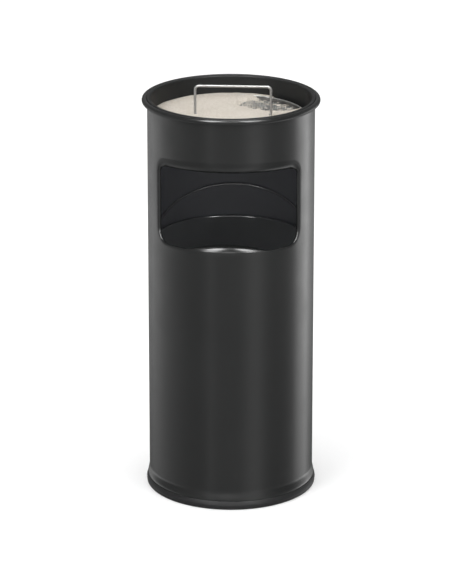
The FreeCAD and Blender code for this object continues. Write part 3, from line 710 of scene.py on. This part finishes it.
def sand_height(x, y):
    """Height of the sand's surface above the sieve plate's own top."""
    base = 4.7
    base += 0.6 * smooth((-x - 10) / 100.0)                                  # a little deeper to the left
    base += 0.45 * noise.noise(Vector((x * 0.022, y * 0.022, 0.4)))
    base += 0.26 * noise.noise(Vector((x * 0.075, y * 0.075, 1.4)))
    base += 0.12 * noise.noise(Vector((x * 0.24, y * 0.24, 5.4)))
    base += 0.9 * rim_rise(x, y)
    b = bare_amount(x, y)
    base -= 6.4 * smooth((b - 0.02) / 0.30)
    # a thin dusting is left in streaks on the bare part
    if b > 0.02:
        streak = noise.noise(Vector((x * 0.11, y * 0.30, 4.2))) + 0.55 * noise.noise(Vector((x * 0.42, y * 0.55, 8.2)))
        thin = 1.5 * streak - 0.34 - 0.30 * smooth(b / 0.7)
        base = max(base, min(thin, 0.8))
    return base


def perforated_sheet():
    r, pitch, hole, sides = SIEVE_R - SHEET, 4.5, 1.3, 12
    pts, edges, circles = [], [], []
    ring_n = 180
    for i in range(ring_n):
        a = 2 * math.pi * i / ring_n
        pts.append((r * math.cos(a), r * math.sin(a)))
        edges.append((i, (i + 1) % ring_n))
    rows = int(r / (pitch * math.sqrt(3) / 2)) + 1
    for j in range(-rows, rows + 1):
        y = j * pitch * math.sqrt(3) / 2
        for i in range(-rows - 2, rows + 3):
            x = (i + 0.5 * (j % 2)) * pitch
            if math.hypot(x, y) < SIEVE_R - 6.5:
                first = len(pts)
                for m in range(sides):
                    a = 2 * math.pi * (m + 0.5) / sides
                    pts.append((y + hole * math.cos(a), x + hole * math.sin(a)))      # rows run front to back
                    edges.append((first + m, first + (m + 1) % sides))
                circles.append((y, x))
    res = geometry.delaunay_2d_cdt([Vector(p) for p in pts], edges, [], 1, 1e-5)
    out_pts, out_faces = res[0], res[2]
    grid = {}
    for x, y in circles:
        grid.setdefault((round(x / 4), round(y / 4)), []).append((x, y))

    def in_hole(x, y):
        a, b = round(x / 4), round(y / 4)
        for i in (a - 1, a, a + 1):
            for j in (b - 1, b, b + 1):
                for cx, cy in grid.get((i, j), ()):
                    if math.hypot(x - cx, y - cy) < hole * 0.9:
                        return True
        return False

    keep = []
    for f in out_faces:
        cx = sum(out_pts[i][0] for i in f) / len(f)
        cy = sum(out_pts[i][1] for i in f) / len(f)
        if not in_hole(cx, cy):
            keep.append(list(f))
    z0, z1 = SIEVE_Z, SIEVE_Z + SHEET
    n = len(out_pts)
    verts = [(p[0], p[1], z1) for p in out_pts] + [(p[0], p[1], z0) for p in out_pts]
    faces = [f for f in keep] + [[i + n for i in f[::-1]] for f in keep]
    count = {}
    for f in keep:
        for a, b in zip(f, f[1:] + f[:1]):
            count[(a, b)] = count.get((a, b), 0) + 1
    for (a, b) in list(count):
        if (b, a) not in count:
            ra = math.hypot(*out_pts[a])
            rb = math.hypot(*out_pts[b])
            if ra > r - 0.5 and rb > r - 0.5:
                continue
            faces.append([b, a, a + n, b + n])
    # upstand: wall with a rounded top edge, joined to the plate's rim
    hem = 0.85
    prof_in = [(r, z1 + 0.0), (r, SIEVE_Z + SIEVE_RISE - 2.3)]
    prof_in += arc(r + SHEET - hem, SIEVE_Z + SIEVE_RISE - hem, hem, 215, 0, 12)
    prof_out = [(r + SHEET, SIEVE_Z + 0.9)] + arc(r - 0.1, SIEVE_Z + 0.9, 0.9, 0, -90, 5)[1:]
    ids_top = list(range(ring_n))
    ids_bottom = [i + n for i in ids_top]
    prev = ids_top
    for pr, pz in prof_in[1:] + prof_out[:-1]:
        line = []
        for i in range(ring_n):
            a = 2 * math.pi * i / ring_n
            line.append(len(verts))
            verts.append((pr * math.cos(a), pr * math.sin(a), pz))
        for i in range(ring_n):
            i2 = (i + 1) % ring_n
            faces.append([prev[i], prev[i2], line[i2], line[i]])
        prev = line
    for i in range(ring_n):
        i2 = (i + 1) % ring_n
        faces.append([prev[i], prev[i2], ids_bottom[i2], ids_bottom[i]])
    return verts, faces


sv, sf = perforated_sheet()
sieve = finish_mesh("sieve_pan", sv, sf, [zinc, zinc_painted_shade], "sieve", ["sieve_plate"], sharp=35)
orient(sieve)
for f in sieve.data.polygons:               # painted shade: the foot of the upstand and the edge of the plate take the darker zinc
    x, y, z = (c / MM for c in f.center)
    if 106.5 < math.hypot(x, y) < 113.3 and SIEVE_Z + 0.3 < z < SIEVE_Z + SIEVE_RISE - 1.5:
        f.material_index = 1


def tube(name, path, radius, mat, body, replaces, sides=20, cap=True):
    """A wire along a smooth path of points (mm): parallel-transported rings, ends closed by caps."""
    pts = [Vector(p) for p in path]
    n = len(pts)
    tang = []
    for i in range(n):
        a = pts[max(i - 1, 0)]
        b = pts[min(i + 1, n - 1)]
        tang.append((b - a).normalized())
    ref = Vector((0, 1, 0)) if abs(tang[0].y) < 0.9 else Vector((1, 0, 0))
    u = tang[0].cross(ref).normalized()
    verts, faces, rings = [], [], []

    def add_ring(c, t, u, r):
        w = t.cross(u)
        ids = []
        for k in range(sides):
            a = 2 * math.pi * k / sides
            verts.append(tuple(c + (u * math.cos(a) + w * math.sin(a)) * r))
            ids.append(len(verts) - 1)
        rings.append(ids)

    if cap:
        for f in (0.35, 0.7, 0.92):
            add_ring(pts[0] + tang[0] * (0.3 * (f - 1) * -1 - 0.0), tang[0], u, radius * math.sqrt(f))
    for i in range(n):
        t = tang[i]
        u = (u - t * u.dot(t)).normalized()
        add_ring(pts[i], t, u, radius)
    for a, b in zip(rings, rings[1:]):
        for k in range(sides):
            k2 = (k + 1) % sides
            faces.append([a[k], a[k2], b[k2], b[k]])
    faces.append(rings[0][::-1])
    faces.append(rings[-1])
    ob = finish_mesh(name, verts, faces, [mat], body, replaces, sharp=50)
    orient(ob)
    return ob


def rounded_path(corners, radii, seg=3.0, arc_n=14):
    pts = [Vector(c) for c in corners]
    out = [pts[0]]
    for i in range(1, len(pts) - 1):
        p, r = pts[i], radii[i - 1]
        a, b = (pts[i - 1] - p).normalized(), (pts[i + 1] - p).normalized()
        half = a.angle(b) / 2
        back = r / math.tan(half)
        start, end = p + a * back, p + b * back
        centre = p + (a + b).normalized() * (r / math.sin(half))
        straight = (start - out[-1]).length
        m = max(1, int(straight / seg))
        for k in range(1, m + 1):
            out.append(out[-1].lerp(start, 1.0 / (m - k + 1)))
        va, vb = start - centre, end - centre
        total = va.angle(vb)
        axis = va.cross(vb).normalized()
        from mathutils import Quaternion
        for k in range(1, arc_n + 1):
            out.append(centre + Quaternion(axis, total * k / arc_n) @ va)
    m = max(1, int((pts[-1] - out[-1]).length / seg))
    start = out[-1]
    for k in range(1, m + 1):
        out.append(start.lerp(pts[-1], k / m))
    return out


HX, HALF, HTOP, HLOW = 2.9, 57.4, 635.5, 588.8
handle_path = rounded_path(
    [(HX - HALF + 22, 0, HLOW), (HX - HALF, 0, HLOW), (HX - HALF, 0, HTOP), (HX + HALF, 0, HTOP), (HX + HALF, 0, HLOW),
     (HX + HALF - 22, 0, HLOW)], [6.0] * 4)
handle = tube("sieve_handle_wire", handle_path, 2.0, wire_bright, "sieve", ["sieve_handle"], sides=24)


# =====================================================================
# sand
# =====================================================================
def sand_on_sieve():
    """The layer on the sieve: fine grid, thin and broken over the bare patch."""
    r_max = SIEVE_R - SHEET - 0.35
    step = 1.5
    n = int(r_max / step) + 2
    z_plate = SIEVE_Z + SHEET
    top, index = [], {}
    for j in range(-n, n + 1):
        for i in range(-n, n + 1):
            x, y = i * step, j * step
            r = math.hypot(x, y)
            if r > r_max + step * 0.75:
                continue
            if r > r_max:
                x, y = x * r_max / r, y * r_max / r
            h = sand_height(x, y)
            index[(i, j)] = len(top)
            top.append([x, y, z_plate + h])
    verts = [tuple(p) for p in top]
    faces = []
    for (i, j), a in index.items():
        b, c, d = index.get((i + 1, j)), index.get((i + 1, j + 1)), index.get((i, j + 1))
        if None in (b, c, d):
            continue
        zs = [top[k][2] for k in (a, b, c, d)]
        if max(zs) < z_plate + 0.10:
            continue
        faces.append([a, b, c, d])
    # close it: a skirt down to just under the plate's top, and a flat underside
    used = sorted({k for f in faces for k in f})
    remap_ids = {k: m for m, k in enumerate(used)}
    verts = [verts[k] for k in used]
    faces = [[remap_ids[k] for k in f] for f in faces]
    low = z_plate + 0.04
    verts = [(x, y, max(z, low + 0.02)) for x, y, z in verts]
    m = len(verts)
    verts += [(x, y, low) for x, y, z in verts]
    under = [[k + m for k in f[::-1]] for f in faces]
    seen = set()
    for f in faces:
        for a, b in zip(f, f[1:] + f[:1]):
            seen.add((a, b))
    skirt = [[b, a, a + m, b + m] for (a, b) in seen if (b, a) not in seen]
    return verts, faces + under + skirt


vs, fs = sand_on_sieve()
sand_top = finish_mesh("sand_layer", vs, fs, [sand_mat], "sieve", ["sand_on_sieve"], sharp=60)
orient(sand_top)


def sand_bed_piece():
    """Sand under and round the sieve: the ring between the sieve's upstand and the bowl wall stands a little uneven."""
    segs = 300
    outline = [(0, 553.1)]
    outline += [(100, 553.1)] + arc(111.4, 563.0, 9.8, -90, 0, 8)[1:]
    outline += [(121.3, 570.0), (121.45, 589.0)]
    crest = [(121.5, 592.4), (120.4, 592.5), (119.0, 592.5), (117.4, 592.6), (116.0, 592.6), (114.9, 592.5), (114.0, 592.2)]
    outline += crest
    outline += [(113.95, 586.6), (113.6, 585.6), (100, 585.5), (60, 585.6), (0, 585.6)]
    crest_set = set(crest) | {(121.45, 589.0)}

    def wobble(r, z, t):
        if (r, z) in crest_set:
            x, y = r * math.sin(t), -r * math.cos(t)
            b = bare_amount(x, y)
            z = z + 0.35 * noise.noise(Vector((x * 0.05, y * 0.05, 7))) + 0.2 * noise.noise(Vector((x * 0.2, y * 0.2, 2)))
            z = z - 9.0 * smooth((x - 56.0) / 16.0) * smooth((y - 4.0) / 20.0)
        return r, z

    # painted shade: the sand's top under the sieve takes the dark sand material
    under = len(outline) - 4
    ob = lathe("sand_bed_fill", outline, [sand_mat, painted_shade_sand], "ash_bowl", ["sand_bed"], segs=segs,
               closed=False, sharp=60, wobble=wobble, pick=lambda i: 1 if i >= under else 0)
    for f in ob.data.polygons:
        x, y, z = (c / MM for c in f.center)
        share = smooth((x - 58.0) / 10.0) * smooth((y + 16.0) / 34.0)      # painted shade: the ring towards the swept part takes the dark sand, in scattered patches
        if z > 572 and share > 0.5 + 0.62 * noise.noise(Vector((x * 0.71, y * 0.71, z * 0.9))):
            f.material_index = 1
    orient(ob)
    return ob


sand_bed = sand_bed_piece()


def loose_grains():
    """Coarser grains and crumbs scattered over the bare sieve."""
    verts, faces = [], []
    made = 0
    while made < 420:
        x, y = rng.uniform(8, 112), rng.uniform(0, 112)
        if math.hypot(x, y) > SIEVE_R - 3:
            continue
        b = bare_amount(x, y)
        if b < 0.05 or rng.random() > 0.95 - 0.6 * min(1.0, b):
            continue
        z = SIEVE_Z + SHEET
        s = rng.uniform(0.28, 0.62)
        first = len(verts)
        bm = bmesh.new()
        bmesh.ops.create_icosphere(bm, subdivisions=1, radius=s)
        for v in bm.verts:
            v.co *= 1 + rng.uniform(-0.22, 0.22)
            v.co.z *= 0.8
            verts.append((x + v.co.x, y + v.co.y, z + s * 0.7 + v.co.z))
        for f in bm.faces:
            faces.append([first + v.index for v in f.verts])
        bm.free()
        made += 1
    return verts, faces


gv, gf = loose_grains()
grains = finish_mesh("sand_grains", gv, gf, [sand_mat], "sieve", sharp=None)


# =====================================================================
# liner, its floor, ears, rivets, bail
# =====================================================================
LY = 3.5
c = 112.5
liner_pts = [(110.0, 24.0), (110.0, 200.0), (110.0, 393.5)]
liner_pts += arc(c, 393.5, 2.5, 180, -150, 26)[1:]
liner_pts += [(110.7, 391.4), (110.7, 200.0), (110.7, 24.0)]
liner = lathe("liner_can", liner_pts, [liner_paint], "liner", ["inner_liner"], centre=(0, LY), sharp=50)
orient(liner)

floor_pts = [(0, 30.0), (107.75, 30.0), (109.25, 28.5), (109.25, 24.0), (109.95, 24.0), (109.95, 29.0), (108.45, 30.7),
             (80.0, 30.7), (78.0, 31.9), (74.0, 31.9), (72.0, 30.7), (0, 30.7)]
liner_floor = lathe("liner_floor_disc", floor_pts, [liner_paint], "liner", ["liner_bottom"], centre=(0, LY),
                    segs=192, closed=False, sharp=30)
orient(liner_floor)


def bail_point(x, d):
    tilt = math.radians(28.6)
    return (x, LY + d * math.cos(tilt), 380.0 + d * math.sin(tilt))


bail_flat = [(-111.5, 0), (-113.2, 0), (-115.0, 0)]
bail_flat += [(-115 + 3 * math.cos(math.radians(a)), 3 + 3 * math.sin(math.radians(a))) for a in range(-100, -181, -10)]
bail_flat += [(-118, 8), (-118, 13), (-118, 17)]
bail_flat += [(118 * math.cos(math.radians(a)), 17 + 118 * math.sin(math.radians(a))) for a in np.arange(178, 0, -2.0)]
bail_flat += [(118, 17), (118, 13), (118, 8)]
bail_flat += [(115 + 3 * math.cos(math.radians(a)), 3 + 3 * math.sin(math.radians(a))) for a in range(0, -91, -10)]
bail_flat += [(113.2, 0), (111.5, 0)]
bail = tube("liner_bail_wire", [bail_point(x, d) for x, d in bail_flat], 2.0, bail_paint_painted_glint, "bail", ["liner_bail"], sides=18)

for node, mat in (("liner_ear_left", liner_paint), ("liner_ear_right", liner_paint), ("liner_ear_rivets", zinc)):
    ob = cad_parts[node]
    ob.data.materials.clear()
    ob.data.materials.append(mat)


# =====================================================================
# shell normals, set last because the mesh is final now
# =====================================================================
me = shell.data
me.normals_split_custom_set_from_vertices([tuple(n) for n in shell_normals])


# =====================================================================
# floor, light, camera
# =====================================================================
def floor_piece():
    bm = bmesh.new()
    bmesh.ops.create_grid(bm, x_segments=4, y_segments=4, size=14.0)
    fm = bpy.data.meshes.new("studio_floor")
    bm.to_mesh(fm)
    bm.free()
    mat, nt, b, vec = material("floor_white")
    col = mix_rgb(nt, tex_noise(nt, vec, 3.0, 2.0), (0.86, 0.86, 0.86), (0.88, 0.88, 0.88))
    nt.links.new(col, b.inputs["Base Color"])
    b.inputs["Roughness"].default_value = 0.9
    b.inputs["Specular IOR Level"].default_value = 0.1
    b.inputs["Emission Color"].default_value = (1, 1, 1, 1)
    b.inputs["Emission Strength"].default_value = 0.09
    fm.materials.append(mat)
    ob = bpy.data.objects.new("studio_floor", fm)
    ob.location.z = -0.0003
    scene.collection.objects.link(ob)
    ob.visible_glossy = False
    return ob


floor = floor_piece()

# World: plain white for what the camera sees and for the fill; for gloss, a studio of tall cards round the object.
world = bpy.data.worlds.new("studio")
scene.world = world
world.use_nodes = True
wt = world.node_tree
wt.nodes.clear()
w_out = wt.nodes.new("ShaderNodeOutputWorld")
w_mix = wt.nodes.new("ShaderNodeMixShader")
w_white = wt.nodes.new("ShaderNodeBackground")
w_cards = wt.nodes.new("ShaderNodeBackground")
w_path = wt.nodes.new("ShaderNodeLightPath")
w_coord = wt.nodes.new("ShaderNodeTexCoord")
w_sep = wt.nodes.new("ShaderNodeSeparateXYZ")
wt.links.new(w_coord.outputs["Generated"], w_sep.inputs[0])
w_white.inputs[0].default_value = (1, 1, 1, 1)
w_white.inputs[1].default_value = 1.12

CAM_AZ = 3.07     # the camera stands this many degrees round from straight in front


def wm(op, a, b=None, c=None):
    n = wt.nodes.new("ShaderNodeMath")
    n.operation = op
    for i, v in enumerate((a, b, c)):
        if v is None:
            continue
        if isinstance(v, (int, float)):
            n.inputs[i].default_value = v
        else:
            wt.links.new(v, n.inputs[i])
    return n.outputs[0]


# azimuth of a direction, 0 straight in front (-Y), growing to the right, as -1..1 for -180..180 degrees
w_az = wm("DIVIDE", wm("ARCTAN2", w_sep.outputs["X"], wm("MULTIPLY", w_sep.outputs["Y"], -1.0)), math.pi)
w_fac = wm("MULTIPLY_ADD", w_az, 0.5, 0.5)
CARDS = [(-180, 0.30), (-160, 0.42), (-150, 0.60), (-135, 1.10), (-117, 1.34), (-95, 1.12), (-75, 0.76), (-62, 0.52),
         (-44, 0.40), (-34, 0.52), (-29, 0.84), (-22, 0.55), (-12, 0.46), (0, 0.50), (12, 0.48), (22, 0.76), (28, 1.0),
         (38, 1.10), (48, 0.72), (60, 0.50), (80, 0.62), (97, 1.12), (108, 2.95), (128, 3.35), (138, 1.4), (148, 0.70),
         (162, 0.32), (180, 0.30)]
SCALE = 4.0
w_ramp = wt.nodes.new("ShaderNodeValToRGB")
els = w_ramp.color_ramp.elements
while len(els) < len(CARDS):
    els.new(0.5)
for e, (a, v) in zip(els, CARDS):
    e.position = min(1.0, max(0.0, (a + CAM_AZ) / 360.0 + 0.5))
    e.color = (v / SCALE, v / SCALE, v / SCALE, 1)
wt.links.new(w_fac, w_ramp.inputs["Fac"])
low_env = wm("MULTIPLY", w_ramp.outputs["Color"], SCALE)


def soft_step(x, lo, hi):
    n = wt.nodes.new("ShaderNodeMapRange")
    n.interpolation_type = "SMOOTHSTEP"
    n.inputs["From Min"].default_value = lo
    n.inputs["From Max"].default_value = hi
    wt.links.new(x, n.inputs["Value"])
    return n.outputs["Result"]


w_el = wm("ARCSINE", w_sep.outputs["Z"])
deg = math.radians


def box_light(az, half_az, el_lo, el_hi, level, soft=4.0):
    """A soft-edged box of light in the gloss world."""
    turn = wm("FLOORED_MODULO", wm("ADD", wm("MULTIPLY", w_az, 180.0), 540.0 - az - CAM_AZ), 360.0)
    d = wm("ABSOLUTE", wm("SUBTRACT", turn, 180.0))
    across = wm("SUBTRACT", 1.0, soft_step(d, half_az - soft / 2, half_az + soft / 2))
    up = wm("MULTIPLY", soft_step(w_el, deg(el_lo - soft), deg(el_lo + soft)),
            wm("SUBTRACT", 1.0, soft_step(w_el, deg(el_hi - soft), deg(el_hi + soft))))
    return wm("MULTIPLY", wm("MULTIPLY", across, up), level)


# the cards fade towards the floor, and above eye height the room is darker but for the lamps
w_side = soft_step(wm("MULTIPLY", wm("ABSOLUTE", w_az), 180.0), 22.0, 88.0)
under = wm("SUBTRACT", 1.0, soft_step(w_el, deg(-54.0), deg(-38.0)))
under = wm("MULTIPLY", under, wm("MULTIPLY_ADD", w_side, -0.80, 1.0))
dip = wm("SUBTRACT", 1.0, wm("ADD", soft_step(w_el, deg(-23.2), deg(-17.0)), under))
above = wm("MULTIPLY", soft_step(w_el, deg(-16.4), deg(-9.0)), wm("MULTIPLY", w_side, 0.84))
fade = wm("SUBTRACT", wm("SUBTRACT", 1.0, above), wm("MULTIPLY", dip, wm("MULTIPLY_ADD", w_side, 0.40, 0.32)))
high = soft_step(w_el, deg(-6), deg(22))
env = wm("ADD", wm("MULTIPLY", wm("MULTIPLY", low_env, fade), wm("SUBTRACT", 1.0, high)), wm("MULTIPLY", high, 0.26))
LAMPS = [(-32, 14, 38, 72, 19.0), (32, 14, 38, 72, 17.0),      # azimuth, half width, low and high edge, level
         (-29, 8, 15, 31, 16.0), (28, 8, 15, 31, 15.0),            # the same lamps' lower fronts
         (-4, 13, 6, 24, 2.4),                                 # low front strip, seen along the rim
         (178, 16, 50, 80, 3.6)]                               # rear top light, seen along the back of the rim
for az, half, lo, hi, level in LAMPS:
    env = wm("ADD", env, box_light(az, half, lo, hi, level))
wt.links.new(env, w_cards.inputs[1])
w_cards.inputs[0].default_value = (1, 1, 1, 1)
wt.links.new(w_path.outputs["Is Glossy Ray"], w_mix.inputs[0])
wt.links.new(w_white.outputs[0], w_mix.inputs[1])
wt.links.new(w_cards.outputs[0], w_mix.inputs[2])
wt.links.new(w_mix.outputs[0], w_out.inputs[0])


def area(name, loc, target, size, power):
    data = bpy.data.lights.new(name, "AREA")
    data.shape = "RECTANGLE"
    data.size, data.size_y = size
    data.energy = power
    ob = bpy.data.objects.new(name, data)
    ob.location = loc
    ob.rotation_euler = (Vector(target) - Vector(loc)).to_track_quat("-Z", "Y").to_euler()
    ob.visible_camera = False
    ob.visible_glossy = False
    scene.collection.objects.link(ob)
    return ob


area("key_soft", (-1.2, -1.5, 2.3), (0, 0, 0.45), (1.2, 1.2), 22)
area("fill_soft", (1.6, -1.2, 2.0), (0, 0, 0.45), (1.4, 1.4), 14)

cam_data = bpy.data.cameras.new("camera")
cam = bpy.data.objects.new("camera", cam_data)
scene.collection.objects.link(cam)
D_CAM, H_CAM, PITCH, F_PX = 4.5648, 1.8766, 17.900, 3134.6
az = math.radians(CAM_AZ)
cam.location = (D_CAM * math.sin(az), -D_CAM * math.cos(az), H_CAM)
cam.rotation_euler = (math.radians(90 - PITCH), 0, az + math.radians(0.096))
cam_data.sensor_width = 36.0
cam_data.lens = F_PX * 36.0 / 584.0
cam_data.shift_x = 0.0
cam_data.shift_y = -0.10
cam_data.clip_end = 60
cam_data.dof.use_dof = False
scene.camera = cam
scene.view_settings.view_transform = "Standard"
scene.view_settings.look = "None"
